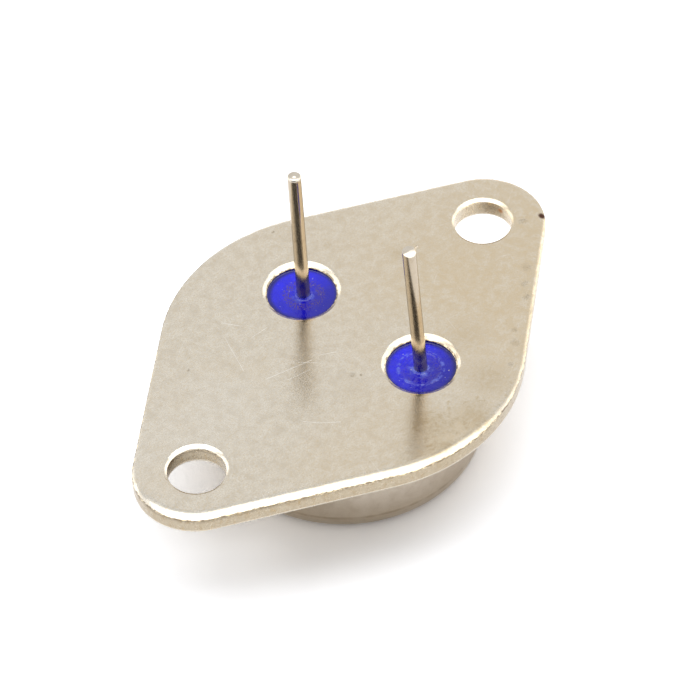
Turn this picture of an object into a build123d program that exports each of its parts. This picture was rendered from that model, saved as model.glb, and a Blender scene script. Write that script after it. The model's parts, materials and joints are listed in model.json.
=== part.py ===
from build123d import *
import math
import os

# A hermetic metal-can voltage regulator with two leads.
# Millimetres. Z = 0 is the seating face, which the leads leave upwards, and the can hangs below it.
# X runs through both mounting holes, and the leads stand in a line along Y, off the middle.

# header plate: a steel flange blanked and pierced from the lead side
hole_pitch = 30.15             # between the mounting holes
hole_radius = 2.01
end_radius = 4.41              # round ends, centred on the mounting holes
waist_radius = 12.67           # round middle
plate_thickness = 1.42
edge_roll_width = 0.80         # the rolled rim that blanking leaves
edge_roll_depth = 0.20
hole_lip_width = 0.42          # the drawn-in lip that piercing leaves at the mounting holes
hole_lip_depth = 0.16
eyelet_lip_width = 0.50        # the same at the lead holes
eyelet_lip_depth = 0.27

# leads and their glass seals
lead_line_offset = 1.94        # from the middle of the plate, towards the +X hole
lead_spacing = 10.90
lead_radius = 0.48
eyelet_radius = 2.43           # lead holes, filled with glass
glass_recess = 0.40            # glass below the seating face
glass_inner_recess = 0.16      # glass short of the plate's inner face
meniscus_height = 0.21         # how far the glass creeps up a lead
lean_heading = 133.0           # degrees from +X, the way both leads lean
input_lead_length = 11.38      # along the lead, from the seating face to the cut end
input_lead_lean = 1.2          # degrees off upright
input_end_chamfer = 0.08
nib_radius = 0.13              # left at the middle of the input lead's end
nib_height = 0.07
output_lead_length = 11.26
output_lead_lean = 2.9
shear_slope = 15.0             # degrees, the half of the output lead's end that was pulled down
shear_turn = 33.0              # degrees, the way that half faces
burr_start = 0.14              # from the lead's axis, where the burr rises out of the cut
burr_height = 0.40
burr_edge = 0.04               # thickness of the burr's edge
post_length = 1.30             # lead end inside the can, past the plate
post_head_radius = 0.85
post_head_thickness = 0.40

# cap: a drawn steel cup, welded to the plate by its flange
cap_radius = 9.70
cap_height = 7.30              # from the plate's inner face
cap_sheet = 0.70
cap_corner_radius = 1.25
cap_flange_width = 1.35
cap_bend = 0.45                # slope where the wall turns out into the flange

# heat spreader and die, soldered one on the other inside the can
spreader_length = 5.40         # along X
spreader_width = 7.60
spreader_thickness = 1.10
spreader_chamfer = 0.30
spreader_clearance = 0.35      # from the spreader to the lead posts' glass, along X
braze_thickness = 0.06
die_length = 2.80
die_width = 3.30
die_thickness = 0.30
solder_thickness = 0.07
solder_margin = 0.16           # solder past the die on each side

# aluminium bond wires
wire_radius = 0.125
wire_squash = 0.05             # how much a bond flattens the wire
bond_length = 0.60
loop_rise = 0.16               # of a wire's arch, as a share of its span
pad_inset = 0.55               # from the die's edges to a bond's middle
ground_inset = 0.60            # from the spreader's edge to the ground bond's middle

inner_face = -plate_thickness
spreader_seat = inner_face - braze_thickness
spreader_face = spreader_seat - spreader_thickness
die_seat = spreader_face - solder_thickness
die_face = die_seat - die_thickness
post_face = inner_face - post_length
input_lead_y = lead_spacing / 2
output_lead_y = -lead_spacing / 2
spreader_x = lead_line_offset - eyelet_radius - spreader_clearance - spreader_length / 2


def polar(angle):
    """Unit vector in XY, at an angle in degrees from +X."""
    return Vector(math.cos(math.radians(angle)), math.sin(math.radians(angle)), 0)


def plate_outline():
    """Round middle and round ends, joined by their common tangents."""
    half_turn = math.degrees(math.acos((waist_radius - end_radius) / (hole_pitch / 2)))
    right, left = (hole_pitch / 2, 0), (-hole_pitch / 2, 0)
    arcs = [CenterArc(right, end_radius, -half_turn, 2 * half_turn),
            CenterArc((0, 0), waist_radius, half_turn, 180 - 2 * half_turn),
            CenterArc(left, end_radius, 180 - half_turn, 2 * half_turn),
            CenterArc((0, 0), waist_radius, 180 + half_turn, 180 - 2 * half_turn)]
    tangents = [Line(arc @ 1, following @ 0) for arc, following in zip(arcs, arcs[1:] + arcs[:1])]
    return make_face(arcs + tangents)


def rim_waste(plane, width, depth):
    """Waste that blanking rolls off a rim: an arc from the flat face down to the cut wall.
    The plane stands across the rim, with X out of the metal, Y up, and its origin on the sharp rim."""
    arc_radius = (width**2 + depth**2) / (2 * depth)
    sag = arc_radius - math.sqrt(arc_radius**2 - width**2 / 4)
    arc = ThreePointArc((-width, 0), (-width / 2, -sag), (0, -depth))
    outside = Polyline((0, -depth), (depth, -depth), (depth, depth), (-width, depth), (-width, 0))
    return plane * make_face([arc, outside])


def pierced_hole(x, y, radius, lip_width, lip_depth):
    """Hole through the plate, with the lip that piercing draws in on the lead side."""
    shank = Pos(0, 0, inner_face / 2) * Cylinder(radius, plate_thickness)
    lip = Pos(0, 0, -lip_depth / 2) * Cone(radius, radius + lip_width, lip_depth)
    return Pos(x, y) * (shank + lip)


def make_header_plate():
    outline = plate_outline()
    rim = outline.face().outer_wire()
    forward = rim % 0
    rim_plane = Plane(origin=rim @ 0, x_dir=forward.cross(Vector(0, 0, 1)), z_dir=-forward)
    plate = extrude(outline, -plate_thickness)
    plate -= sweep(rim_waste(rim_plane, edge_roll_width, edge_roll_depth), rim)
    for x in (-hole_pitch / 2, hole_pitch / 2):
        plate -= pierced_hole(x, 0, hole_radius, hole_lip_width, hole_lip_depth)
    for y in (input_lead_y, output_lead_y):
        plate -= pierced_hole(lead_line_offset, y, eyelet_radius, eyelet_lip_width, eyelet_lip_depth)
    return plate


def make_glass_seal(y):
    """Glass that fills a lead hole and creeps a little along the lead on both sides."""
    top, bottom = -glass_recess, inner_face + glass_inner_recess
    foot = lead_radius + meniscus_height
    section = Polyline((lead_radius, bottom - meniscus_height), (foot, bottom), (eyelet_radius, bottom),
                       (eyelet_radius, top), (foot, top), (lead_radius, top + meniscus_height), close=True)
    return Pos(lead_line_offset, y) * revolve(Plane.XZ * make_face(section), Axis.Z)


def lead_wire(y, length, lean):
    """Lead with a flat head inside the can, upright through the glass, then bent to lean.
    Returns it with the plane of its outer end, whose X points the way it leans."""
    knee = Vector(lead_line_offset, y, meniscus_height - glass_recess)
    way = polar(lean_heading) * math.sin(math.radians(lean)) + Vector(0, 0, math.cos(math.radians(lean)))
    end = knee + way * (length - knee.Z)
    route = Polyline((lead_line_offset, y, post_face), knee, end)
    wire = sweep(Plane(origin=route @ 0) * Circle(lead_radius), route, transition=Transition.RIGHT)
    head = Pos(0, 0, post_head_thickness / 2) * Cylinder(post_head_radius, post_head_thickness)
    wire += Pos(lead_line_offset, y, post_face) * head
    return wire, Plane(origin=end, x_dir=polar(lean_heading), z_dir=way)


def make_input_lead():
    """Its end was clipped from both sides, which left a nib in the middle."""
    lead, end = lead_wire(input_lead_y, input_lead_length, input_lead_lean)
    rim = lead.faces().sort_by(Axis.Z)[-1].edges()
    nib = Cone(nib_radius, nib_radius / 3, nib_height)
    return chamfer(rim, input_end_chamfer) + end * Pos(0, 0, nib_height / 2) * nib


def make_output_lead():
    """Its end was sheared off, which left a flat with one half pulled down and a burr at the side."""
    lead, end = lead_wire(output_lead_y, output_lead_length + burr_height, output_lead_lean)
    reach = 2 * lead_radius
    offcut = Polyline((reach, 0), (-burr_start, 0), (burr_edge - lead_radius, burr_height),
                      (burr_edge - lead_radius, reach), (reach, reach), close=True)
    blade = extrude(Plane.XZ * make_face(offcut), reach, both=True)
    cut = end * Pos(0, 0, -burr_height)
    return lead - cut * blade - cut * Rot(0, 0, shear_turn) * Rot(-shear_slope, 0, 0) * blade


def make_cap():
    """Drawn cup: a round end, a straight wall and a flange turned out against the plate."""
    end_face = inner_face - cap_height
    bore_radius = cap_radius - cap_sheet
    flange_face = inner_face - cap_sheet
    flange_radius = cap_radius + cap_flange_width
    inner_bend = cap_bend + cap_sheet / 2
    inner_corner = cap_corner_radius - cap_sheet
    corner_centre = (cap_radius - cap_corner_radius, end_face + cap_corner_radius)
    corner = CenterArc(corner_centre, cap_corner_radius, 270, 90)
    wall = Polyline(corner @ 1, (cap_radius, flange_face - cap_bend), (cap_radius + cap_bend, flange_face),
                    (flange_radius, flange_face), (flange_radius, inner_face),
                    (bore_radius + inner_bend, inner_face), (bore_radius, inner_face - inner_bend),
                    (bore_radius, end_face + cap_sheet + inner_corner),
                    (bore_radius - inner_corner, end_face + cap_sheet),
                    (0, end_face + cap_sheet), (0, end_face), corner @ 0)
    return revolve(Plane.XZ * make_face([corner, wall]), Axis.Z)


def make_heat_spreader():
    block = Pos(spreader_x, 0, spreader_seat - spreader_thickness / 2)
    block *= Box(spreader_length, spreader_width, spreader_thickness)
    return chamfer(block.edges().filter_by(Axis.Z), spreader_chamfer)


def make_spreader_braze():
    layer = Pos(spreader_x, 0, inner_face - braze_thickness / 2)
    layer *= Box(spreader_length, spreader_width, braze_thickness)
    return chamfer(layer.edges().filter_by(Axis.Z), spreader_chamfer)


def make_die():
    return Pos(spreader_x, 0, die_seat - die_thickness / 2) * Box(die_length, die_width, die_thickness)


def make_die_solder():
    """Solder under the die, wider at the spreader."""
    wide = Rectangle(die_length + 2 * solder_margin, die_width + 2 * solder_margin)
    layers = [Pos(spreader_x, 0, spreader_face) * wide,
              Pos(spreader_x, 0, die_seat) * Rectangle(die_length, die_width)]
    return loft(layers)


def bond_wire(start, end, carriers):
    """Arched wire from one pad to another, its two ends pressed flat on what carries them."""
    rise = Vector(0, 0, wire_radius - wire_squash)
    along = (Vector(end.X, end.Y) - Vector(start.X, start.Y)).normalized()
    half_bond = along * (bond_length / 2)
    first, last = start - rise + half_bond, end - rise - half_bond
    crown = (first + last) * 0.5 - Vector(0, 0, loop_rise * (last - first).length)
    arch = ThreePointArc(first, crown, last)
    wire = sweep(Plane(origin=first, z_dir=arch % 0) * Circle(wire_radius), arch)
    for foot in (first, end - rise + half_bond):
        wire += extrude(Plane(origin=foot, z_dir=-along) * Circle(wire_radius), bond_length)
    for carrier in carriers:
        wire -= carrier
    return wire


def make_bond_wires(die, spreader, input_lead, output_lead):
    """From the die to the input post, to the output post, and to the spreader, which is the ground."""
    east, west = spreader_x + die_length / 2 - pad_inset, spreader_x - die_length / 2 + pad_inset
    north, south = die_width / 2 - pad_inset, pad_inset - die_width / 2
    input_post = Vector(lead_line_offset, input_lead_y, post_face)
    output_post = Vector(lead_line_offset, output_lead_y, post_face)
    ground_bond = Vector(west, ground_inset - spreader_width / 2, spreader_face)
    return {"input_bond_wire": bond_wire(Vector(east, north, die_face), input_post, (die, input_lead)),
            "output_bond_wire": bond_wire(Vector(east, south, die_face), output_post, (die, output_lead)),
            "ground_bond_wire": bond_wire(Vector(west, south, die_face), ground_bond, (die, spreader))}


input_lead, output_lead = make_input_lead(), make_output_lead()
die, spreader = make_die(), make_heat_spreader()
pieces = {"header_plate": make_header_plate(),
          "input_glass_seal": make_glass_seal(input_lead_y),
          "output_glass_seal": make_glass_seal(output_lead_y),
          "input_lead": input_lead,
          "output_lead": output_lead,
          "cap": make_cap(),
          "heat_spreader": spreader,
          "spreader_braze": make_spreader_braze(),
          "regulator_die": die,
          "die_solder": make_die_solder()}
pieces.update(make_bond_wires(die, spreader, input_lead, output_lead))

os.makedirs("parts", exist_ok=True)
for name, piece in pieces.items():
    export_step(piece, f"parts/{name}.step")
    print(f"{name}: {piece.volume:.3f} mm3")
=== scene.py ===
import bpy
import json
import math
from collections import Counter
from mathutils import Matrix, Quaternion, Vector


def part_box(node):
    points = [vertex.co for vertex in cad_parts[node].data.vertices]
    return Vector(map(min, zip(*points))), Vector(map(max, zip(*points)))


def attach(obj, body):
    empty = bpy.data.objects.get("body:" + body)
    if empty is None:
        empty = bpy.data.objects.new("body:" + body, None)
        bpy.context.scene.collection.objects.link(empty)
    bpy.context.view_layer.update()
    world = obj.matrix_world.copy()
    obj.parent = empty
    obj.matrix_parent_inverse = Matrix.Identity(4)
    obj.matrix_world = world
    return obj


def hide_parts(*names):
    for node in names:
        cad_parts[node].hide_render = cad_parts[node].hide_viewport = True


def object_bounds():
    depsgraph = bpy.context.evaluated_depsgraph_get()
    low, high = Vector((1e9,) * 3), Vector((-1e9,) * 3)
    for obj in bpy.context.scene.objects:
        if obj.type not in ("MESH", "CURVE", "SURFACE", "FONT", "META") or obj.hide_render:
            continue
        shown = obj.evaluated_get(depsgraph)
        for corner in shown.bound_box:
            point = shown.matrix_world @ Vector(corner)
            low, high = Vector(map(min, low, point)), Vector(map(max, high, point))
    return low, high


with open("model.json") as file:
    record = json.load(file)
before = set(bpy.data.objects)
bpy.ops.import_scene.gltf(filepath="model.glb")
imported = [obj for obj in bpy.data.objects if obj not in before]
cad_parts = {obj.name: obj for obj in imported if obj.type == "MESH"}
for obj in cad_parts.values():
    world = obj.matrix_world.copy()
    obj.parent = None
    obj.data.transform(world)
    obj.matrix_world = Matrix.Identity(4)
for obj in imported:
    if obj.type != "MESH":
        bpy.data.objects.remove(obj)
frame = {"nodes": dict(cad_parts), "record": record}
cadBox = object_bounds()
mounts = {mount["name"]: mount for mount in frame["record"]["mounts"]}
mm = 0.001


def boxOf(node):
    # lowest and highest corner of a CAD node, in millimetres
    return [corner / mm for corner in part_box(node)]


# edit-mode tools; sizes are in millimetres wherever a piece is described

def selectNothing():
    if bpy.context.mode != "OBJECT":
        bpy.ops.object.mode_set(mode="OBJECT")
    bpy.ops.object.select_all(action="DESELECT")


def workOn(piece):
    selectNothing()
    piece.select_set(True)
    bpy.context.view_layer.objects.active = piece


def pick(piece, kind, wanted):
    # selects the vertices, edges or faces that pass a test, and stays in edit mode
    workOn(piece)
    bpy.ops.object.mode_set(mode="EDIT")
    bpy.ops.mesh.select_mode(type=kind)
    bpy.ops.mesh.select_all(action="DESELECT")
    bpy.ops.object.mode_set(mode="OBJECT")
    mesh = piece.data
    for element in {"VERT": mesh.vertices, "EDGE": mesh.edges, "FACE": mesh.polygons}[kind]:
        element.select = wanted(element)
    bpy.ops.object.mode_set(mode="EDIT")


def joined(name, pieces):
    workOn(pieces[0])
    for piece in pieces:
        piece.select_set(True)
    bpy.ops.object.join()
    whole = bpy.context.object
    whole.name = whole.data.name = name
    bpy.ops.object.transform_apply(location=True, rotation=True, scale=True)
    return whole


def facesOut(piece):
    workOn(piece)
    bpy.ops.object.mode_set(mode="EDIT")
    bpy.ops.mesh.select_all(action="SELECT")
    bpy.ops.mesh.remove_doubles(threshold=0.0005 * mm)
    bpy.ops.mesh.normals_make_consistent(inside=False)
    bpy.ops.object.mode_set(mode="OBJECT")


def wearAway(piece, share, size, depth):
    # sinks vertices by a cloud pattern, each by the share that its place gives it
    facesOut(piece)
    group = piece.vertex_groups.new(name="worn")
    for vertex in piece.data.vertices:
        group.add([vertex.index], share(vertex.co / mm), "REPLACE")
    clouds = bpy.data.textures.new(f"{piece.name}{size}", "CLOUDS")
    clouds.noise_scale = size * mm
    clouds.noise_depth = 2
    displace = piece.modifiers.new("wearAway", "DISPLACE")
    displace.texture = clouds
    displace.texture_coords = "LOCAL"
    displace.vertex_group = group.name
    displace.mid_level = 0
    displace.strength = -depth * mm
    workOn(piece)
    bpy.ops.object.modifier_apply(modifier=displace.name)
    piece.vertex_groups.clear()


def arc(centre, radius, start, end, steps):
    # (radius, height) points on an arc of a turned form's section, angles in degrees
    angles = [math.radians(start + (end - start) * step / steps) for step in range(steps + 1)]
    return [(centre[0] + radius * math.cos(a), centre[1] + radius * math.sin(a)) for a in angles]


def turned(name, x, y, section, segments, wander=None):
    # a ring, extruded and scaled from each (radius, height) of the section to the next
    def middle(radius, height):
        return Vector((x, y, height)) + (wander(radius, height) if wander else Vector())

    selectNothing()
    radius, height = section[0]
    bpy.ops.mesh.primitive_circle_add(vertices=segments, radius=radius * mm,
                                      location=middle(radius, height) * mm)
    piece = bpy.context.object
    piece.name = piece.data.name = name
    bpy.ops.object.transform_apply(location=True)
    bpy.ops.object.mode_set(mode="EDIT")
    bpy.ops.mesh.select_all(action="SELECT")
    for nextRadius, nextHeight in section[1:]:
        centre = middle(nextRadius, nextHeight)
        step = (centre - middle(radius, height)) * mm
        growth = nextRadius / radius
        bpy.ops.mesh.extrude_edges_move(TRANSFORM_OT_translate={"value": step})
        bpy.ops.transform.resize(value=(growth, growth, 1), center_override=centre * mm)
        radius, height = nextRadius, nextHeight
    bpy.ops.object.mode_set(mode="OBJECT")
    return piece


def closeEnds(piece):
    workOn(piece)
    bpy.ops.object.mode_set(mode="EDIT")
    bpy.ops.mesh.select_mode(type="EDGE")
    bpy.ops.mesh.select_all(action="DESELECT")
    bpy.ops.mesh.select_non_manifold(extend=False)
    bpy.ops.mesh.edge_face_add()
    bpy.ops.object.mode_set(mode="OBJECT")


def carry(piece, node, finish, smoothAngle=35):
    # hands a finished piece to the frame in place of its CAD node
    facesOut(piece)
    workOn(piece)
    bpy.ops.object.shade_smooth_by_angle(angle=math.radians(smoothAngle))
    piece.data.materials.clear()
    piece.data.materials.append(finish.owner)
    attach(piece, "root")
    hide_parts(node)
    print(f"{piece.name}: {len(piece.data.polygons)} faces")


# shader maths

class Wire:
    # a shader socket that can be written into sums
    def __init__(self, tree, socket):
        self.tree = tree
        self.socket = socket

    def work(self, operation, *values):
        return self.tree.wire("ShaderNodeMath", {"operation": operation}, dict(enumerate(values)))

    def __add__(self, other):
        return self.work("ADD", self, other)

    def __radd__(self, other):
        return self.work("ADD", other, self)

    def __sub__(self, other):
        return self.work("SUBTRACT", self, other)

    def __rsub__(self, other):
        return self.work("SUBTRACT", other, self)

    def __mul__(self, other):
        return self.work("MULTIPLY", self, other)

    def __truediv__(self, other):
        return self.work("DIVIDE", self, other)

    def __pow__(self, other):
        return self.work("POWER", self, other)

    def __abs__(self):
        return self.work("ABSOLUTE", self)

    def least(self, other):
        return self.work("MINIMUM", self, other)

    def most(self, other):
        return self.work("MAXIMUM", self, other)

    def rise(self, low, high):
        # 0 below low, 1 above high, eased between them
        return self.tree.wire("ShaderNodeMapRange", {"interpolation_type": "SMOOTHSTEP"},
                              {"Value": self, "From Min": low, "From Max": high})

    def fall(self, low, high):
        return 1 - self.rise(low, high)


class Tree:
    # the node tree of a material or of the world
    def __init__(self, owner):
        self.owner = owner
        owner.use_nodes = True
        self.nodes = owner.node_tree.nodes
        self.links = owner.node_tree.links

    def plug(self, value, socket):
        if isinstance(value, Wire):
            self.links.new(value.socket, socket)
        elif socket.type == "RGBA" and len(value) == 3:
            socket.default_value = (*value, 1)
        else:
            socket.default_value = value

    def node(self, kind, settings=None, sockets=None):
        node = self.nodes.new(kind)
        for setting, value in (settings or {}).items():
            setattr(node, setting, value)
        for socket, value in (sockets or {}).items():
            self.plug(value, node.inputs[socket])
        return node

    def wire(self, kind, settings=None, sockets=None, output=0):
        return Wire(self, self.node(kind, settings, sockets).outputs[output])

    def noise(self, place, scale, detail=2.0, roughness=0.5, distortion=0.0):
        return self.wire("ShaderNodeTexNoise", {}, {"Vector": place, "Scale": scale, "Detail": detail,
                                                    "Roughness": roughness, "Distortion": distortion})

    def measured(self, place, sizes, turn=0.0, middle=(0, 0, 0)):
        # the place, turned about Z and measured in units of these sizes
        return self.wire("ShaderNodeMapping", {"vector_type": "TEXTURE"},
                         {"Vector": place, "Location": middle,
                          "Rotation": (0, 0, math.radians(turn)), "Scale": sizes})

    def farFrom(self, place, point):
        return self.wire("ShaderNodeVectorMath", {"operation": "DISTANCE"}, {0: place, 1: point}, "Value")

    def mixed(self, factor, first, second):
        # sockets 6, 7 and output 2 are the Mix node's colours
        return self.wire("ShaderNodeMix", {"data_type": "RGBA"}, {0: factor, 6: first, 7: second}, 2)


class Finish(Tree):
    # one material; its place is in millimetres on the piece
    def __init__(self, name, constants):
        super().__init__(bpy.data.materials.new(name))
        self.shader = self.nodes["Principled BSDF"]
        self.feed(constants)
        metres = self.wire("ShaderNodeTexCoord", output="Object")
        self.place = self.wire("ShaderNodeVectorMath", {"operation": "SCALE"}, {0: metres, "Scale": 1 / mm})
        axes = self.node("ShaderNodeSeparateXYZ", {}, {0: self.place})
        self.x, self.y, self.z = [Wire(self, socket) for socket in axes.outputs]

    def feed(self, values):
        for socket, value in values.items():
            self.plug(value, self.shader.inputs[socket])
        return self

    def bumped(self, height, depth, under=None):
        sockets = {"Height": height, "Distance": depth * mm}
        if under:
            sockets["Normal"] = under
        return self.wire("ShaderNodeBump", {}, sockets)


# nickel plate on the header: satin, mottled by yellow stains, marked by handling and by the tools; painted
# sheen, painted glints and painted shade lie on its face, walls and sharp edge

nickelLook = {
    "bright": (0.84, 0.785, 0.68),
    "dull": (0.66, 0.59, 0.48),
    "cool": (0.73, 0.69, 0.63),
    # painted sheen, paler and cooler than the plate
    "pale": (0.88, 0.85, 0.79),
    "yellowed": (0.70, 0.575, 0.395),
    "brown": (0.42, 0.30, 0.16),
    "stain": (0.50, 0.38, 0.215),
    "wall": (0.385, 0.315, 0.215),       # sheared faces
    "grime": (0.13, 0.09, 0.05),         # dark spots; and the dark line held by the sharp edge under the roll, dirt with painted shade
    "gold": (0.95, 0.78, 0.48),          # painted highlight along that edge
    "rust": (0.10, 0.045, 0.03),
    "rustPlace": (18.2, -2.83, -0.05),   # on the roll
    "orange": (0.50, 0.23, 0.08),
    "orangePlace": (17.08, 0.07, -0.6),  # in the wall of a mounting hole
    # scratches, and painted glints
    "scratch": (0.98, 0.96, 0.91),
    "roughness": 0.125,
    "grain": 0.0032,                     # height of the fine grain
    "shearMarks": 0.012,                 # height of the streaks down the sheared walls

    # noises: scale, detail, roughness and distortion
    "drift": (0.14, 3, 0.55),
    "mottle": (1.3, 4, 0.66, 0.3),
    "speckle": (3.2, 4, 0.7),
    "fine": (9, 4, 0.8),
    "fleck": (6, 3, 0.8),
    "pits": (6, 2, 0.6),
    "glints": (5, 2, 0.6),
    "shearedSizes": (0.34, 0.34, 0.7),   # of the streaks in the wall, along X, Y and Z
    "jaggedSizes": (0.35, 0.35, 0.12),   # of the breaks in the sharp edge

    # heights between which one part of the section gives way to the next
    "flatFoot": (-0.12, -0.02),
    "edgeTop": (-0.20, -0.16),
    "edgeFoot": (-0.36, -0.30),
    "wallTop": (-0.26, -0.18),
    "wallFoot": (-1.44, -1.38),
    "tearTop": (-1.18, -1.14),
    "tornTop": (-1.24, -1.20),
    "darkerWall": (2, 13),               # painted shade on the walls and edge: dark below this x, light past this one

    # areas of the flat face, by the sides over which they rise and fall
    "yellowing": {"xRise": (-4, 10)},
    "cleaner": {"xRise": (0, 3), "xFall": (4, 7), "yFall": (-3, 1), "yRise": (-5, -2)},
    "yellowRim": {"yFall": (-12, -8), "xFall": (0, 3)},
    # painted shade: darker and yellower towards the lower left
    "yellowSide": {"yFall": (-7, -2), "xFall": (-2, 3), "xRise": (-14, -9)},
    # painted sheen over the left middle of the face
    "paler": {"xFall": (-9, -3), "yRise": (-2, 2), "yFall": (3, 8)},

    "hairlineTurns": (24, -38, 71),
    "scratches": (                       # from, to and half width
        ((-5.9, 1.85), (-2.55, 0.6), 0.026),
        ((-4.9, 0.6), (-3.3, 0.1), 0.020),
        ((-3.3, 1.15), (-2.5, 0.15), 0.018),
        ((-1.9, 0.5), (-0.9, -0.2), 0.022),
        ((-7.2, -2.7), (-6.5, -3.75), 0.022),
        ((-6.5, -3.75), (-5.6, -4.7), 0.022),
        ((-3.9, 7.7), (-3.2, 6.4), 0.02),
        ((-4.8, 6.6), (-6.3, 3.5), 0.015),
        ((-3.7, 5.2), (-2.2, 5.0), 0.018),
    ),
    "stains": (                          # middle, radius and strength
        ((0.5, -11.3), 1.5, 0.75),
        ((-2.0, -10.0), 1.5, 0.7),
        ((-1.8, -8.6), 1.2, 0.3),
        ((-3.3, -11.7), 1.2, 0.6),
        ((3.8, -9.9), 1.6, 0.55),
        ((5.9, -6.2), 1.5, 0.3),
        ((8.9, 2.6), 0.7, 0.4),
        ((6.4, 6.9), 0.35, 0.5),
        ((-3.0, -3.3), 1.1, 0.25),
    ),
    "spots": (                           # the same for the small dark ones
        ((13.57, -5.24), 0.34, 0.4),
        ((11.46, -6.99), 0.26, 0.5),
        ((8.5, -8.37), 0.20, 0.45),
        ((7.6, -9.22), 0.32, 0.4),
        ((16.89, -2.16), 0.30, 0.45),
        ((12.3, -6.1), 0.30, 0.35),
        ((-1.81, -2.55), 0.24, 0.45),
        ((-1.45, -2.95), 0.10, 0.95),
        ((-8.64, 6.51), 0.13, 0.8),
        ((4.93, 10.73), 0.13, 0.8),
        ((5.84, -10.25), 0.2, 0.4),
    ),
}


def area(finish, sides):
    # 1 over a part of the plate, easing to 0 between the two numbers of each side
    ramps = {"xRise": finish.x.rise, "xFall": finish.x.fall, "yRise": finish.y.rise, "yFall": finish.y.fall}
    inside = 1
    for side, (low, high) in sides.items():
        inside = ramps[side](low, high) * inside
    return inside


def scratch(finish, start, end, halfWidth):
    # 1 on a straight line over the flat face, fading to its sides
    middle = (Vector(start) + Vector(end)) / 2
    run = Vector(end) - Vector(start)
    along = run.normalized()
    ahead = (finish.x - middle.x) * along.x + (finish.y - middle.y) * along.y
    aside = (finish.y - middle.y) * along.x - (finish.x - middle.x) * along.y
    beyond = (abs(ahead) - run.length / 2).most(0)
    return ((aside * aside + beyond * beyond) ** 0.5).fall(0.4 * halfWidth, 1.6 * halfWidth)


def blots(finish, places, wander):
    # ragged patches, each with its own strength
    total = 0
    for (x, y), radius, strength in places:
        away = finish.farFrom(finish.place, (x, y, 0)) + (wander - 0.5) * radius * 3.5
        total = total + away.fall(0.2 * radius, 1.4 * radius) * strength
    return total.least(1)


def hairlines(finish, turn):
    # sparse fine scratches, all about one way, where the part was rubbed
    lines = finish.noise(finish.measured(finish.place, (2.2, 0.045, 2.2), turn, (turn, 0, 0)), 1, 1)
    rubbedAndGlinting = finish.noise(finish.measured(finish.place, (4, 2, 4), turn, (0, turn, 0)), 1)
    return lines.rise(0.68, 0.76) * rubbedAndGlinting.rise(0.48, 0.62)


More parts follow.
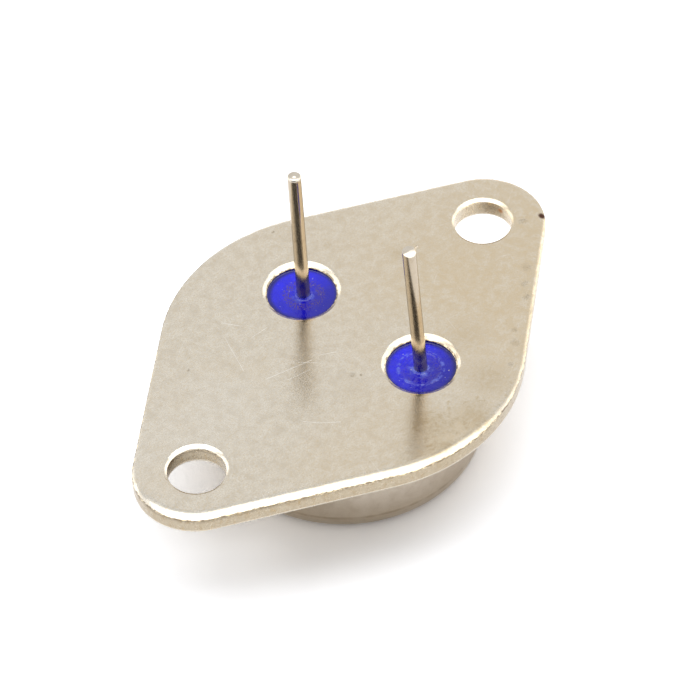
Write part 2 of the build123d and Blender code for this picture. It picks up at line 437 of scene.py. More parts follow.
def nickelPlating(look):
    finish = Finish("nickelPlating", {"Metallic": 1})
    place = finish.place
    flat = finish.z.rise(*look["flatFoot"])
    wall = finish.z.fall(*look["wallTop"]) * finish.z.rise(*look["wallFoot"])
    drift = finish.noise(place, *look["drift"])
    mottle = finish.noise(place, *look["mottle"])
    speckle = finish.noise(place, *look["speckle"])
    fine = finish.noise(place, *look["fine"])
    fleck = finish.noise(finish.measured(place, (1, 1, 1), 0, (7, 3, 0)), *look["fleck"])
    pits = finish.noise(finish.measured(place, (1, 1, 1), 0, (3, 9, 0)), *look["pits"])
    pits = pits.rise(0.64, 0.74) * flat
    glints = finish.noise(place, *look["glints"]).rise(0.73, 0.79) * flat
    sheared = finish.noise(finish.measured(place, look["shearedSizes"]), 1, 4, 0.7)
    scratched = sum(hairlines(finish, turn) for turn in look["hairlineTurns"]) * 0.6
    for start, end, halfWidth in look["scratches"]:
        scratched = scratched + scratch(finish, start, end, halfWidth)
    scratched = (scratched * flat * fine.rise(0.25, 0.5)).least(1)
    # yellowed plating, stronger to the right and towards the front; towards the lower left it is painted
    # shade, darker and yellower
    yellowingAndShade = area(finish, look["yellowing"]) * (0.32 + finish.y.fall(-3, 9) * 0.62)
    yellowingAndShade = yellowingAndShade * (1 - area(finish, look["cleaner"]) * 0.6)
    yellowingAndShade = yellowingAndShade.most(area(finish, look["yellowRim"]) * 0.8)
    yellowingAndShade = yellowingAndShade.most(area(finish, look["yellowSide"]) * 0.45)
    yellowingAndShade = yellowingAndShade * (0.35 + mottle.rise(0.3, 0.7) * 0.45 + speckle.rise(0.35, 0.65) * 0.25)
    stained = blots(finish, look["stains"], mottle) * (0.25 + speckle.rise(0.15, 0.75) * 0.75)
    spotted = blots(finish, look["spots"], speckle) * flat * fine.rise(0.3, 0.6)
    rust = (finish.farFrom(place, look["rustPlace"]) + speckle * 0.1).fall(0.2, 0.42)
    orange = (finish.farFrom(place, look["orangePlace"]) + speckle * 0.25).fall(0.2, 0.42)

    # the sharp edge under the roll: black where dirt holds, deepened by painted shade towards the left and
    # along the top of the wall at the left end; painted gold highlights where it is clean
    edge = finish.z.rise(*look["edgeFoot"]) * finish.z.fall(*look["edgeTop"])
    jagged = finish.noise(finish.measured(place, look["jaggedSizes"]), 1, 3, 0.7)
    # painted shade: walls and sharp edge darker towards the left, lighter towards the right
    shadedLeft = finish.x.fall(*look["darkerWall"])
    grime = edge * jagged.rise(0.46, 0.57) * shadedLeft
    leftWallTop = wall * (finish.z + jagged * 0.4).rise(-0.42, -0.10) * finish.x.fall(-14, -6)
    grime = grime.most(leftWallTop * 0.5)
    rubbedAndGlinting = edge * jagged.fall(0.40, 0.46) * 0.9

    # the wall below it: sheared, and torn at its foot; painted darker towards the left and lighter towards
    # the right
    wallAndShade = wall * (0.45 + shadedLeft * 0.55) * (0.85 + sheared.rise(0.4, 0.7) * 0.15)
    browned = wall * sheared.rise(0.50, 0.7) * speckle.rise(0.3, 0.6)
    torn = finish.z.fall(*look["tornTop"])
    tearLine = finish.z.fall(*look["tearTop"]) * (1 - torn) * jagged.rise(0.4, 0.6)

    colour = finish.mixed(mottle.rise(0.35, 0.72) * 0.85, look["bright"], look["dull"])
    colour = finish.mixed(fine.rise(0.40, 0.64) * 0.8, colour, look["dull"])
    colour = finish.mixed(fleck.rise(0.50, 0.64) * 0.5, colour, look["yellowed"])
    colour = finish.mixed(fleck.fall(0.36, 0.50) * 0.35, colour, look["cool"])
    colour = finish.mixed(pits * 0.4, colour, look["brown"])
    # painted sheen over the left middle of the flat face
    colour = finish.mixed(area(finish, look["paler"]) * 0.16, colour, look["pale"])
    colour = finish.mixed(yellowingAndShade, colour, look["yellowed"])
    colour = finish.mixed(speckle.rise(0.5, 0.75) * 0.3, colour, look["yellowed"])
    colour = finish.mixed(drift.rise(0.55, 0.72) * 0.25, colour, look["yellowed"])
    colour = finish.mixed(stained * 0.8, colour, look["stain"])
    colour = finish.mixed(spotted * 0.7, colour, look["grime"])
    colour = finish.mixed(wallAndShade, colour, look["wall"])
    colour = finish.mixed(browned * 0.6, colour, look["brown"])
    # painted glints on the walls, most on the shaded left
    colour = finish.mixed(wall * fleck.rise(0.52, 0.66) * shadedLeft * 0.25, colour, look["bright"])
    colour = finish.mixed(torn * 0.5, colour, look["bright"])
    colour = finish.mixed(tearLine * 0.6, colour, look["brown"])
    # painted glints and the scratches, nearly white
    colour = finish.mixed((glints + scratched * 0.7).least(0.9), colour, look["scratch"])
    # painted gold highlights along the sharp edge
    colour = finish.mixed(rubbedAndGlinting, colour, look["gold"])
    # dark line along the sharp edge: dirt with painted shade
    colour = finish.mixed(grime * 0.75, colour, look["grime"])
    colour = finish.mixed(rust, colour, look["rust"])
    colour = finish.mixed(orange * 0.85, colour, look["orange"])
    normal = finish.bumped(fine + speckle * 0.5, look["grain"])
    normal = finish.bumped(sheared * wall, look["shearMarks"], normal)
    roughness = look["roughness"] + mottle * 0.04 + speckle * 0.05 + wall * 0.10 + scratched * 0.1
    return finish.feed({"Base Color": colour, "Roughness": roughness, "Normal": normal})


# header plate: hull of three discs, with its rim rolled by blanking and its holes drawn in by piercing

headerPlate = {
    "rimSpacing": 0.065,                 # between the points of its rounded parts
    "sideCuts": 190,                     # rows across each straight side
    "slab": (-0.80, -0.66),              # where the rim's rows start from, downwards and upwards
    "wallRows": (-0.54, -0.44, -0.36, -0.30, -0.26, -0.23, -0.20),
    "tornRows": ((0.004, 0.15), (0.008, 0.15), (0.012, 0.15), (0.016, 0.11), (0.02, 0.035),
                 (0.04, 0.025)),         # inward and down
    "rollWidth": 0.80,
    "rollRows": 12,
    "mountingLip": {"width": 0.43, "slope": 30, "corner": 0.05, "bend": 0.60},
    "eyeletLip": {"width": 0.57, "slope": 32, "corner": 0.08, "bend": 0.60},
    "coneRows": 6,
    "shearedTo": -0.84,                  # the height below which the walls of the holes are torn
    "shearedRows": 5,
    "tornHole": ((0.008, 0.44), (0.018, 0.30), (0.03, 0.16), (0.045, 0.04),
                 (0.07, 0)),             # by how much it is wider, at this height over the inner face
    "holeSegments": 240,
    "flatMargin": 0.06,
    "mountingReach": 0.6,                # how far the wear of a lip reaches outside its hole
    "eyeletReach": 3.1,                  # the same, from the middle of the hole
    "edgeHeight": -0.21,                 # the sharp edge under the roll
    "edgeReach": 0.10,
    "rollHeights": (-0.16, -0.002),      # what the wear of the roll and of the lips covers
    "lipHeights": (-0.22, -0.002),
    "edgeWear": {"size": 0.22, "depth": 0.030},
    "rollWear": {"size": 0.7, "depth": 0.010},
    "lipWear": {"size": 0.2, "depth": 0.005},
}


def piercedHole(size, x, y, radius, lip, thickness):
    # the inside of a hole: drawn lip, sheared wall, and the torn part below, which is wider
    corner, slope, bend = lip["corner"], math.radians(lip["slope"]), lip["bend"]
    steepness = math.tan(slope)
    shoulder = radius + corner * (1 - math.sin(slope))    # where the cone of the lip ends
    brink = radius + lip["width"]
    coneTop = brink - bend * math.sin(slope)
    bendDepth = bend * (1 - math.cos(slope))
    shoulderDepth = bendDepth + (coneTop - shoulder) * steepness
    wallTop = -shoulderDepth - corner * math.cos(slope)
    section = [(brink + size["flatMargin"], 0)]
    section += arc((brink, -bend), bend, 90, 90 + lip["slope"], 6)
    for row in range(1, size["coneRows"]):
        down = row / size["coneRows"]
        section += [(coneTop + (shoulder - coneTop) * down, -bendDepth - (shoulderDepth - bendDepth) * down)]
    section += arc((radius + corner, wallTop), corner, 90 + lip["slope"], 180, 5)
    for row in range(size["shearedRows"]):
        section += [(radius, wallTop + (size["shearedTo"] - wallTop) * (row + 1) / size["shearedRows"])]
    section += [(radius + wider, above - thickness) for wider, above in size["tornHole"]]
    section += [(section[-1][0] + size["flatMargin"], -thickness)]
    return turned("hole", x, y, section, size["holeSegments"])


def blankedRim(size, middleRadius, endRadius, halfPitch):
    # the rim of the plate, open above and below: hull of the discs, then rows up over the roll and down
    foot, top = size["slab"]
    discs = []
    for x, radius in ((-halfPitch, endRadius), (0, middleRadius), (halfPitch, endRadius)):
        selectNothing()
        segments = 4 * round(math.tau * radius / size["rimSpacing"] / 4)
        bpy.ops.mesh.primitive_cylinder_add(vertices=segments, radius=radius * mm, depth=(top - foot) * mm,
                                            location=(x * mm, 0, (foot + top) / 2 * mm))
        discs.append(bpy.context.object)
    rim = joined("headerPlate", discs)
    bpy.ops.object.mode_set(mode="EDIT")
    bpy.ops.mesh.select_all(action="SELECT")
    bpy.ops.mesh.convex_hull()
    pick(rim, "FACE", lambda face: abs(face.normal.z) > 0.9)
    bpy.ops.mesh.dissolve_faces()
    bpy.ops.object.mode_set(mode="OBJECT")
    corners = [vertex.co.copy() for vertex in rim.data.vertices]

    def isLong(edge):
        return (corners[edge.vertices[0]] - corners[edge.vertices[1]]).length > 1 * mm

    pick(rim, "EDGE", isLong)    # the straight sides
    bpy.ops.mesh.subdivide(number_cuts=size["sideCuts"])

    pick(rim, "FACE", lambda face: face.normal.z > 0.9)
    for height in size["wallRows"]:
        bpy.ops.mesh.extrude_region_move(TRANSFORM_OT_translate={"value": (0, 0, (height - top) * mm)})
        top = height
    rollDepth = -top
    rollRadius = (size["rollWidth"]**2 + rollDepth**2) / (2 * rollDepth)
    steepest = math.degrees(math.asin(size["rollWidth"] / rollRadius))
    roll = arc((0, -rollRadius), rollRadius, 90 - steepest, 90, size["rollRows"])
    for (across, height), (nextAcross, nextHeight) in zip(roll, roll[1:]):
        bpy.ops.mesh.inset(thickness=(across - nextAcross) * mm, depth=(nextHeight - height) * mm)
    bpy.ops.mesh.inset(thickness=size["flatMargin"] * mm, depth=0)
    bpy.ops.mesh.delete(type="ONLY_FACE")
    pick(rim, "FACE", lambda face: face.normal.z < -0.9)
    for inward, down in size["tornRows"]:
        bpy.ops.mesh.inset(thickness=inward * mm, depth=down * mm)
    bpy.ops.mesh.inset(thickness=size["flatMargin"] * mm, depth=0)
    bpy.ops.mesh.delete(type="ONLY_FACE")
    return rim


def makeHeaderPlate(size):
    low, high = boxOf("header_plate")
    thickness = -low.z
    pattern = mounts["mounting_pattern"]["dims"]
    halfPitch = pattern["spacing_x_mm"] / 2
    holes = [piercedHole(size, x, 0, pattern["hole_r_mm"], size["mountingLip"], thickness)
             for x in (-halfPitch, halfPitch)]
    for seal in ("input_glass_seal", "output_glass_seal"):
        sealLow, sealHigh = boxOf(seal)
        middle = (sealLow + sealHigh) / 2
        radius = sealHigh.x - middle.x
        holes.append(piercedHole(size, middle.x, middle.y, radius, size["eyeletLip"], thickness))
    rim = blankedRim(size, high.y, high.x - halfPitch, halfPitch)
    plate = joined("headerPlate", [rim, *holes])

    for height in (0, -thickness):    # the face sheets, each with its four holes
        used = Counter(key for polygon in plate.data.polygons for key in polygon.edge_keys)
        onSheet = [abs(vertex.co.z / mm - height) < 0.01 for vertex in plate.data.vertices]
        pick(plate, "EDGE", lambda edge: used[edge.key] == 1 and onSheet[edge.vertices[0]])
        bpy.ops.mesh.fill()
        bpy.ops.object.mode_set(mode="OBJECT")

    def inHole(place):
        mounting = math.hypot(abs(place.x) - halfPitch, place.y)
        eyelet = math.hypot(place.x - middle.x, abs(place.y) - abs(middle.y))
        return mounting < pattern["hole_r_mm"] + size["mountingReach"] or eyelet < size["eyeletReach"]

    def onEdge(place):
        return 0 if inHole(place) else max(0, 1 - abs(place.z - size["edgeHeight"]) / size["edgeReach"])

    def within(place, heights):
        return heights[0] < place.z < heights[1]

    def onRoll(place):
        return int(within(place, size["rollHeights"]) and not inHole(place))

    def onLip(place):
        return int(within(place, size["lipHeights"]) and inHole(place))

    wearAway(plate, onEdge, **size["edgeWear"])
    wearAway(plate, onRoll, **size["rollWear"])
    wearAway(plate, onLip, **size["lipWear"])
    return plate


plating = nickelPlating(nickelLook)
carry(makeHeaderPlate(headerPlate), "header_plate", plating)


# glass seals: cobalt blue, fired in place, so the glass creeps up the lead and the eyelet wall

glassSeals = {
    "input": {
        "leadOffset": (0.08, -0.09),    # of the lead, from the middle of the glass
        "waves": {"size": 0.9, "depth": 0.03},
        "ring": 0.0,                    # height of a ring round the lead
        "rippleSize": 1.6,              # scale and height of the ripples in its shine
        "ripple": 0.03,
        "dust": 1.0,                    # how much of each lies on the glass
        "crumbs": 0.3,
        "pale": 0.5,                    # how strong the painted sheen is at the lead, and the painted reflection in a broken ring round it
        "arc": 0.0,
    },
    "output": {
        "leadOffset": (-0.02, 0.02),
        "waves": {"size": 0.6, "depth": 0.07},
        "ring": 0.05,
        "rippleSize": 2.6,
        "ripple": 0.06,
        "dust": 0.35,
        "crumbs": 0.9,
        "pale": 0.8,
        "arc": 0.6,
    },
}
glassShape = {
    "footCreep": 0.21,      # radius to which the glass creeps up the lead
    "wallCreep": 0.10,      # the same up the wall
    "buried": 0.03,         # how far it runs on inside the lead
    "offsetReach": 1.4,     # from the wall inwards, over which the lead's offset grows
    "ringRadius": 1.5,
    "ringWidth": 0.12,
    "rows": 26,
    "rowSpacing": 0.06,
    "segments": 144,
}
glassLook = {
    "blue": (0.013, 0.013, 0.98),
    "deep": (0.007, 0.006, 0.38),
    # painted shade where the glass meets the eyelet wall
    "rim": (0.004, 0.004, 0.13),
    "rimRadii": (2.05, 2.42),
    "lit": (-2.4, 1.9),     # painted light: from the shaded blue to the blue along Y, from the middle of the glass
    # painted sheen and painted reflection, pale blue
    "pale": (0.16, 0.22, 0.85),
    "dust": (0.10, 0.06, 0.16),
    "crumbs": (0.80, 0.74, 0.62),
    "roughness": 0.06,
}
leadRadius = 0.48


def makeGlassSeal(name, size, shape):
    low, high = boxOf(f"{name}_glass_seal")
    middle = (low + high) / 2
    wallRadius = high.x - middle.x
    foot, edge = shape["footCreep"], shape["wallCreep"]
    top, bottom = high.z - foot, low.z + foot
    buried = leadRadius - shape["buried"]

    def towardsLead(radius, height):
        return Vector((*size["leadOffset"], 0)) * min(1, max(0, (wallRadius - radius) / shape["offsetReach"]))

    def ringed(radius):
        return top + size["ring"] * math.exp(-((radius - shape["ringRadius"]) / shape["ringWidth"])**2)

    footArc = arc((leadRadius + foot, top + foot), foot, 180, 270, 10)
    radii = [leadRadius + foot + shape["rowSpacing"] * (row + 1) for row in range(shape["rows"])]
    flat = [(radius, ringed(radius)) for radius in radii if radius < wallRadius - edge]
    rise = arc((wallRadius - edge, top + edge), edge, 270, 360, 6)
    under = arc((wallRadius - edge, bottom - edge), edge, 0, 90, 6)
    underFoot = arc((leadRadius + foot, bottom - foot), foot, 90, 180, 8)
    section = [(buried, low.z), (buried, top + foot)] + footArc + flat + rise
    section += [(wallRadius, -0.5), (wallRadius, -1.0)] + under + underFoot + [(buried, low.z)]
    seal = turned(f"{name}GlassSeal", middle.x, middle.y, section, shape["segments"], towardsLead)
    wearAway(seal, lambda place: int(place.z > top - 0.05), **size["waves"])
    return seal


def sealGlass(name, size, look):
    # dust and crumbs of oxide lie in a ring round the lead; a painted sheen lies where the glass climbs the
    # lead, with a painted reflection in a broken ring, painted shade at the wall and painted light on the far
    # side
    low, high = boxOf(f"{name}_glass_seal")
    middle = (low + high) / 2 + Vector((*size["leadOffset"], 0))
    finish = Finish(f"{name}Glass", {"IOR": 1.52})
    place = finish.place
    away = ((finish.x - middle.x) ** 2 + (finish.y - middle.y) ** 2) ** 0.5
    cloud = finish.noise(place, 0.9, 3, 0.6, 0.6)
    wave = finish.noise(place, size["rippleSize"], 2, 0.5, 0.5)
    dust = finish.noise(place, 10, 3, 0.7)
    patches = finish.noise(place, 2.2, 2)
    ring = away.rise(0.7, 1.0) * away.fall(1.3, 1.65)
    dirt = dust.rise(0.46, 0.60) * patches.rise(0.2, 0.55) * (0.06 + ring * size["dust"])
    crumbs = finish.noise(place, 4.5, 1).rise(0.72, 0.76) * away.fall(1.9, 2.2) * size["crumbs"]
    # painted sheen at the foot of the lead, and a painted reflection in a broken ring round it
    pale = away.fall(0.55, 1.05) * patches.rise(0.42, 0.6) * size["pale"]
    pale = pale + away.rise(1.35, 1.5) * away.fall(1.55, 1.75) * wave.rise(0.48, 0.6) * size["arc"]
    # painted light: the glass lighter towards the far side
    lit = (finish.y - middle.y).rise(*look["lit"]) * (0.55 + cloud.rise(0.3, 0.7) * 0.45)
    colour = finish.mixed(lit, look["deep"], look["blue"])
    # painted shade towards the eyelet wall
    colour = finish.mixed(away.rise(*look["rimRadii"]) * 0.85, colour, look["rim"])
    colour = finish.mixed(pale, colour, look["pale"])
    colour = finish.mixed(dirt, colour, look["dust"])
    colour = finish.mixed(crumbs, colour, look["crumbs"])
    normal = finish.bumped(wave, size["ripple"])
    roughness = look["roughness"] + dirt * 0.4
    return finish.feed({"Base Color": colour, "Roughness": roughness, "Normal": normal})


for name, size in glassSeals.items():
    glass = sealGlass(name, size, glassLook)
    seal = makeGlassSeal(name, size, glassShape)
    carry(seal, f"{name}_glass_seal", glass, smoothAngle=50)


# leads: drawn nickel alloy wire, headed inside the can, upright in the glass and leaning above it

leads = {
    "input": {
        "length": 11.38,
        "lean": 1.2,
        "nibHeight": 0.07,
        "cutDepth": 0.08,           # how far down the clipped end shows fresh metal
    },
    "output": {
        "length": 11.26,
        "lean": 2.9,
        "slope": 18,                # of the half that was pulled down, and how far it is turned
        "turn": 33,
        "burrStart": 0.38,          # how far from the lead's axis the burr starts
        "burrEdge": 0.04,           # how thick it is at its top
        "burrHeight": 0.40,
        "burrTip": (-0.72, -0.08, 0.34),    # what its top is pinched towards, and to what share
        "burrPinch": 0.3,
    },
}
leadShape = {
    "leanHeading": 133,
    "knee": -0.19,                  # the height where the lean starts
    "headRadius": 0.85,
    "headThickness": 0.40,
    "rows": 40,
    "segments": 72,
}
leadLook = {
    "metal": (0.48, 0.405, 0.305),
    "tarnish": (0.32, 0.25, 0.165),
    "fresh": (0.70, 0.64, 0.55),    # where it was cut
    "roughness": 0.10,
    "drawMarks": 0.003,             # heights of the marks along the wire and of the grain
    "grain": 0.002,
}


def makeLead(name, size, shape):
    sealLow, sealHigh = boxOf(f"{name}_glass_seal")
    base = (sealLow + sealHigh) / 2 + Vector((*glassSeals[name]["leadOffset"], 0))
    foot, knee = boxOf(f"{name}_lead")[0].z, shape["knee"]
    heading, lean = math.radians(shape["leanHeading"]), math.radians(size["lean"])
    way = Vector((math.cos(heading) * math.sin(lean), math.sin(heading) * math.sin(lean), math.cos(lean)))
    length = size["length"] + size.get("burrHeight", 0)
    end = knee + (length - knee) * way.z
    head, headTop = shape["headRadius"], foot + shape["headThickness"]

    def leaning(radius, height):
        return Vector((way.x, way.y, 0)) / way.z * max(0, height - knee)

    # a flat head with rounded edges, a fillet, and the wire
    section = [(0.05, foot), (head - 0.08, foot), (head - 0.02, foot + 0.03), (head, foot + 0.10),
               (head, headTop - 0.06), (head - 0.03, headTop), (leadRadius + 0.08, headTop),
               (leadRadius + 0.02, headTop + 0.05), (leadRadius, headTop + 0.14), (leadRadius, -1.3)]
    rise = (end - 0.3 - knee) / shape["rows"]
    section += [(leadRadius, knee + rise * row) for row in range(shape["rows"] + 1)]
    if name == "input":    # clipped from two sides, which left a low cone with a nib
        section += [(leadRadius, end - 0.09), (leadRadius - 0.02, end - 0.04), (leadRadius - 0.07, end)]
        section += [(0.26, end + 0.02), (0.13, end + 0.04), (0.08, end + size["nibHeight"]),
                    (0.03, end + size["nibHeight"])]
    else:
        section += [(leadRadius, end), (0.05, end)]
    lead = turned(f"{name}Lead", base.x, base.y, section, shape["segments"], leaning)
    closeEnds(lead)
    cut = Vector((base.x, base.y, knee)) + way * (size["length"] - knee)
    if name == "input":
        return lead, cut - way * size["cutDepth"], [way]
    left = Vector((math.cos(heading), math.sin(heading), 0))
    left = (left - way * left.dot(way)).normalized()
    axes = Matrix((left, way.cross(left), way)).transposed()
    turns = (Matrix.Identity(3), Matrix.Rotation(math.radians(size["turn"]), 3, "Z")
             @ Matrix.Rotation(math.radians(-size["slope"]), 3, "X"))
    shearEnd(lead, size, cut, axes, turns)
    return lead, cut, [axes @ turn @ Vector((0, 0, 1)) for turn in turns]


def shearEnd(lead, size, cut, axes, turns):
    # the blade leaves a flat, pulls one half of it down and bends a burr up at the side
    facesOut(lead)
    reach, height = 2 * leadRadius, size["burrHeight"] + 0.05
    inner = size["burrEdge"] - leadRadius
    for turn in turns:
        selectNothing()
        bpy.ops.mesh.primitive_cube_add(size=1, location=((inner + reach) / 2 * mm, 0, height / 2 * mm),
                                        scale=((reach - inner) * mm, 2 * reach * mm, height * mm))
        blade = bpy.context.object
        bpy.ops.object.transform_apply(location=True, scale=True)
        atFoot = [vertex.co.x < (inner + 0.01) * mm and vertex.co.z < 0.01 * mm
                  for vertex in blade.data.vertices]
        pick(blade, "VERT", lambda vertex: atFoot[vertex.index])
        bpy.ops.transform.translate(value=((-size["burrStart"] - inner) * mm, 0, 0))
        bpy.ops.object.mode_set(mode="OBJECT")
        blade.matrix_world = Matrix.Translation(cut * mm) @ (axes @ turn).to_4x4()
        shear = lead.modifiers.new("shear", "BOOLEAN")
        shear.object = blade
        shear.solver = "EXACT"
        workOn(lead)
        bpy.ops.object.modifier_apply(modifier=shear.name)
        bpy.data.objects.remove(blade)
    places = [axes.transposed() @ (vertex.co / mm - cut) for vertex in lead.data.vertices]
    pick(lead, "VERT", lambda vertex: places[vertex.index].z > 0.7 * size["burrHeight"])
    tip = cut + axes @ Vector(size["burrTip"])
    bpy.ops.transform.resize(value=(size["burrPinch"],) * 3, center_override=tip * mm)
    bpy.ops.object.mode_set(mode="OBJECT")


def leadWire(name, look, cut, normals):
    finish = Finish(f"{name}LeadWire", {"Metallic": 1})
    place = finish.place
    drawn = finish.noise(finish.measured(place, (0.10, 0.10, 2.5)), 1, 2, 0.5)
    patches = finish.noise(place, 1.6, 3, 0.6)
    above = [(finish.x - cut.x) * normal.x + (finish.y - cut.y) * normal.y + (finish.z - cut.z) * normal.z
             for normal in normals]
    fresh = above[0].most(above[-1]).rise(-0.05, -0.02) * (0.45 + patches * 0.8)
    colour = finish.mixed(patches.rise(0.5, 0.75) * 0.6, look["metal"], look["tarnish"])
    colour = finish.mixed(fresh.least(1), colour, look["fresh"])
    roughness = look["roughness"] + patches * 0.08 + drawn * 0.05 + fresh * 0.1
    normal = finish.bumped(drawn, look["drawMarks"])
    normal = finish.bumped(finish.noise(place, 12, 2, 0.6), look["grain"], normal)
    return finish.feed({"Base Color": colour, "Roughness": roughness, "Normal": normal})


for name, size in leads.items():
    lead, cut, normals = makeLead(name, size, leadShape)
    carry(lead, f"{name}_lead", leadWire(name, leadLook, cut, normals))


# cap: a drawn cup, plated like the header, with its flange welded to the plate

capShape = {
    "sheet": 0.70,
    "corner": 1.25,
    "bend": 0.45,
    "flange": 1.35,
    "flangeEdge": 0.08,
    "drawRidge": 0.02,
    "recessRadius": 7.4,    # the flat middle of the end, and how deep it lies
    "endRecess": 0.05,
    "weldGap": 0.02,
    "segments": 240,
}
capLook = {
    "bright": (0.58, 0.515, 0.43),
    "dull": (0.51, 0.44, 0.355),
    # stains, and the colour of the painted shade towards the bottom
    "stain": (0.33, 0.26, 0.175),
    # painted shade, darker towards the bottom of the can
    "stainHeights": (-8.0, -4.0),
    "line": (0.22, 0.15, 0.08),
    "lineFoot": (-7.42, -7.32),
    "lineTop": (-7.24, -7.14),
    "sideFoot": (-7.6, -7.2),
    "roughness": 0.18,
    "grain": 0.004,
    "drawMarks": 0.006,
}


def makeCap(size):
    low, high = boxOf("cap")
    flangeRadius = high.x
    radius = flangeRadius - size["flange"]
    wall = radius - size["drawRidge"]
    corner, sheet, bend, edge = size["corner"], size["sheet"], size["bend"], size["flangeEdge"]
    cornerTop = low.z + corner
    recess, recessRadius = low.z + size["endRecess"], size["recessRadius"]
    seat, weld = high.z - sheet, high.z - size["weldGap"]    # outer and inner face of the flange
    section = [(0.05, recess)]
    section += [(step, recess) for step in range(1, 8)]
    section += [(recessRadius, recess), (recessRadius + 0.3, low.z + 0.01), (recessRadius + 0.6, low.z)]
    section += arc((wall - corner, cornerTop), corner, 272, 356, 16)
    section += [(radius - 0.008, cornerTop + 0.02), (radius, cornerTop + 0.14)]    # the ridge drawing left
    section += [(radius - 0.006, cornerTop + 0.28), (wall, cornerTop + 0.45)]
    section += [(wall, cornerTop + 0.45 + 0.5 * step) for step in range(1, 9)]
    section += arc((wall + bend, seat - bend), bend, 180, 90, 10)
    section += [(flangeRadius - 0.10, seat)]
    section += arc((flangeRadius - edge, seat + edge), edge, 270, 360, 4)
    section += arc((flangeRadius - edge, weld - edge), edge, 0, 90, 4)
    section += [(flangeRadius - 0.5, weld), (flangeRadius - 0.55, high.z)]
    section += [(radius - sheet + 0.8, high.z), (radius - sheet, high.z - 0.8), (radius - sheet, cornerTop)]
    section += arc((wall - corner, cornerTop), corner - sheet, 0, -90, 6)
    section += [(0.05, low.z + sheet)]
    cap = turned("drawnCap", 0, 0, section, size["segments"])
    closeEnds(cap)
    return cap


def capPlating(look):
    finish = Finish("capPlating", {"Metallic": 1})
    place = finish.place
    drift = finish.noise(place, 0.25, 3, 0.55)
    mottle = finish.noise(place, 1.2, 4, 0.6, 0.4)
    speckle = finish.noise(place, 4, 4, 0.7)
    drawn = finish.noise(finish.measured(place, (0.25, 0.25, 2.5)), 1, 3, 0.6)
    side = finish.z.rise(*look["sideFoot"])
    drawLine = finish.z.rise(*look["lineFoot"]) * finish.z.fall(*look["lineTop"])
    colour = finish.mixed(mottle.rise(0.35, 0.72), look["bright"], look["dull"])
    colour = finish.mixed(drift.rise(0.48, 0.7) * 0.25, colour, look["stain"])
    # painted shade, darker towards the bottom of the can
    colour = finish.mixed(finish.z.fall(*look["stainHeights"]) * 0.5, colour, look["stain"])
    colour = finish.mixed(drawLine * (0.12 + mottle.rise(0.3, 0.6) * 0.28), colour, look["line"])
    normal = finish.bumped(speckle, look["grain"])
    normal = finish.bumped(drawn * side, look["drawMarks"], normal)
    roughness = look["roughness"] + mottle * 0.08 + speckle * 0.06
    return finish.feed({"Base Color": colour, "Roughness": roughness, "Normal": normal})


carry(makeCap(capShape), "cap", capPlating(capLook))


# pieces sealed inside the can keep their CAD meshes and get their own metals

innerMetals = {
    "copper": {
        "nodes": ("heat_spreader",),
        "base": (0.80, 0.42, 0.27),
        "shade": (0.55, 0.24, 0.13),
        "roughness": 0.30,
    },
    "brazeAlloy": {
        "nodes": ("spreader_braze",),
        "base": (0.78, 0.72, 0.58),
        "shade": (0.60, 0.52, 0.38),
        "roughness": 0.35,
    },
    "softSolder": {
        "nodes": ("die_solder",),
        "base": (0.62, 0.62, 0.63),
        "shade": (0.42, 0.42, 0.44),
        "roughness": 0.40,
    },
    "silicon": {
        "nodes": ("regulator_die",),
        "base": (0.30, 0.32, 0.38),
        "shade": (0.12, 0.14, 0.20),
        "roughness": 0.15,
    },
    "aluminium": {
        "nodes": ("input_bond_wire", "output_bond_wire", "ground_bond_wire"),
        "base": (0.88, 0.88, 0.88),
        "shade": (0.70, 0.70, 0.71),
        "roughness": 0.28,
    },
}


def innerMetal(name, look):
    finish = Finish(name, {"Metallic": 1})
    patches = finish.noise(finish.place, 1.8, 4, 0.6, 0.3)
    grain = finish.noise(finish.place, 14, 3, 0.6)
    colour = finish.mixed(patches.rise(0.35, 0.7), look["base"], look["shade"])
    return finish.feed({"Base Color": colour, "Roughness": look["roughness"] + grain * 0.12,
                        "Normal": finish.bumped(grain, 0.004)})


for name, look in innerMetals.items():
    metal = innerMetal(name, look).owner
    for node in look["nodes"]:
        materials = frame["nodes"][node].data.materials
        materials.clear()
        materials.append(metal)
print("inner pieces finished")


# world, lamps, floor and camera

stageLook = {
    "awayHeading": 42.6,               # the way the flat face mirrors
    "room": 0.90,                      # what metal mirrors from the room
    "softbox": 2.6,                    # overhead, from this lean away to this lean back
    "softboxLean": (19, 30),
    "softboxSpread": (0.85, 0.70),     # its half widths to the right and left, at unit height
    "panels": 1.9,                     # upright at the right and at the left
    "panelStart": (0.56, 0.64),
    "panelTop": (0.66, 0.76),
    "gap": (0.62, 0.645, 0.69),        # between the wall of the room and the softbox
    "dark": (0.085, 0.09, 0.105),
    "darkSide": (207.6, 38),           # heading and elevation of its middle
    "darkSpread": (28, 46),            # degrees from its middle, fully dark and no longer dark
    "fill": 0.45,                      # what lights rough surfaces
    "roof": 2.2,
    "roofSize": (0.7, 0.34),
    "roofPlace": (0.07, 0.45),         # away and up
    "floor": 0.86,
    "floorSeen": (1.46, 1.48, 1.53),   # its colour where it is looked at or mirrored, past white
    "floorHeight": cadBox[0].z,
}


def grey(level):
    return (level, level, level)


def wayTo(heading, elevation):
    heading, elevation = math.radians(heading), math.radians(elevation)
    return (math.cos(heading) * math.cos(elevation), math.sin(heading) * math.cos(elevation),
            math.sin(elevation))


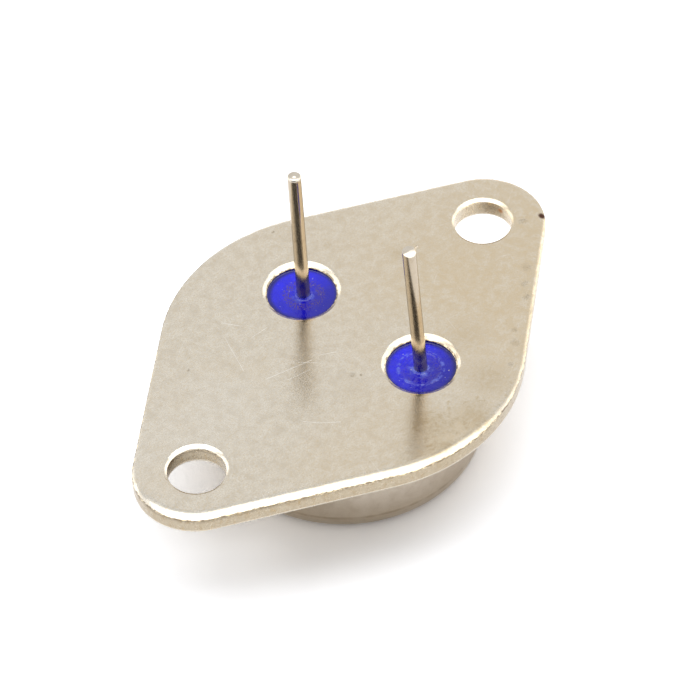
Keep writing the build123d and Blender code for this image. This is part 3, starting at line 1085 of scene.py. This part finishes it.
def makeWorld(look):
    # rough surfaces get an even fill; metal and glass mirror a bright room with a dark side
    world = bpy.data.worlds.new("room")
    bpy.context.scene.world = world
    tree = Tree(world)
    direction = tree.wire("ShaderNodeTexCoord")

    def towards(heading, elevation=0):
        return tree.wire("ShaderNodeVectorMath", {"operation": "DOT_PRODUCT"},
                         {0: direction, 1: wayTo(heading, elevation)}, "Value")

    up = towards(0, 90)
    away, right = towards(look["awayHeading"]), towards(look["awayHeading"] - 90)
    lean = away / up.most(0.2)
    far, near = (math.tan(math.radians(angle)) for angle in look["softboxLean"])
    overhead = up.rise(0.3, 0.4)
    softbox = lean.fall(far - 0.08, far + 0.16) * lean.rise(-near - 0.05, -near + 0.05) * overhead
    for side, spread in zip((1, -1), look["softboxSpread"]):
        softbox = softbox * (right * side / up.most(0.2)).fall(spread - 0.25, spread + 0.25)
    gap = lean.fall(0.54, 0.64) * away.rise(-0.1, 0.2) * overhead
    panels = abs(right).rise(*look["panelStart"]) * up.fall(*look["panelTop"])
    inner, outer = (math.cos(math.radians(angle)) for angle in look["darkSpread"])
    mirrored = tree.mixed(gap, grey(look["room"]), look["gap"])
    mirrored = tree.mixed(panels, mirrored, grey(look["panels"]))
    mirrored = tree.mixed(towards(*look["darkSide"]).rise(outer, inner), mirrored, look["dark"])
    mirrored = tree.mixed(softbox, mirrored, grey(look["softbox"]))
    path = tree.node("ShaderNodeLightPath").outputs
    shiny = Wire(tree, path["Is Glossy Ray"]).most(Wire(tree, path["Is Transmission Ray"]))
    colour = tree.mixed(shiny, grey(look["fill"]), mirrored)
    colour = tree.mixed(Wire(tree, path["Is Camera Ray"]), colour, grey(1))
    tree.plug(colour, tree.nodes["Background"].inputs["Color"])


def makeRoof(look):
    # lights rough surfaces only, because metal and glass mirror the world's softbox
    width, depth = look["roofSize"]
    away, up = look["roofPlace"]
    lamp = bpy.data.lights.new("roof", "AREA")
    lamp.shape = "RECTANGLE"
    lamp.size, lamp.size_y = width, depth
    lamp.energy = math.pi * width * depth * look["roof"]
    roof = bpy.data.objects.new("roof", lamp)
    bpy.context.scene.collection.objects.link(roof)
    roof.location = Vector(wayTo(look["awayHeading"], 0)) * away + Vector((0, 0, up))
    roof.rotation_mode = "QUATERNION"
    roof.rotation_quaternion = Quaternion((0, 0, 1), math.radians(look["awayHeading"] + 90))
    roof.visible_camera = roof.visible_glossy = roof.visible_transmission = False


def makeFloor(look):
    # white paper, brighter where it is seen than where it lights the piece
    bpy.ops.mesh.primitive_plane_add(size=6, location=(0, 0, look["floorHeight"]))
    floor = bpy.context.object
    floor.name = floor.data.name = "floor"
    bpy.ops.object.transform_apply(location=True)
    tree = Tree(bpy.data.materials.new("floorPaper"))
    path = tree.node("ShaderNodeLightPath").outputs
    seen = Wire(tree, path["Is Camera Ray"]).most(Wire(tree, path["Is Glossy Ray"]))
    seen = seen.most(Wire(tree, path["Is Transmission Ray"]))
    colour = tree.mixed(seen, grey(look["floor"]), look["floorSeen"])
    paper = tree.wire("ShaderNodeBsdfDiffuse", {}, {"Color": colour})
    tree.plug(paper, tree.nodes["Material Output"].inputs["Surface"])
    floor.data.materials.append(tree.owner)
    return floor


makeWorld(stageLook)
makeRoof(stageLook)
floor = makeFloor(stageLook)
print("room, lamp and floor ready")

shot = {
    "place": (-0.19113, -0.17639, 0.28078),
    "target": (-0.00017, -0.00083, 0),
    "lens": 285.5257,
    "roll": -2.37,
}
aim = (Vector(shot["target"]) - Vector(shot["place"])).to_track_quat("-Z", "Y")
camera = bpy.data.objects.new("camera", bpy.data.cameras.new("camera"))
bpy.context.scene.collection.objects.link(camera)
camera.location = shot["place"]
camera.data.lens = shot["lens"]
camera.rotation_mode = "QUATERNION"
camera.rotation_quaternion = aim @ Quaternion((0, 0, 1), math.radians(shot["roll"]))
bpy.context.scene.camera = camera
bpy.context.scene.view_settings.view_transform = "Standard"
print("camera placed")
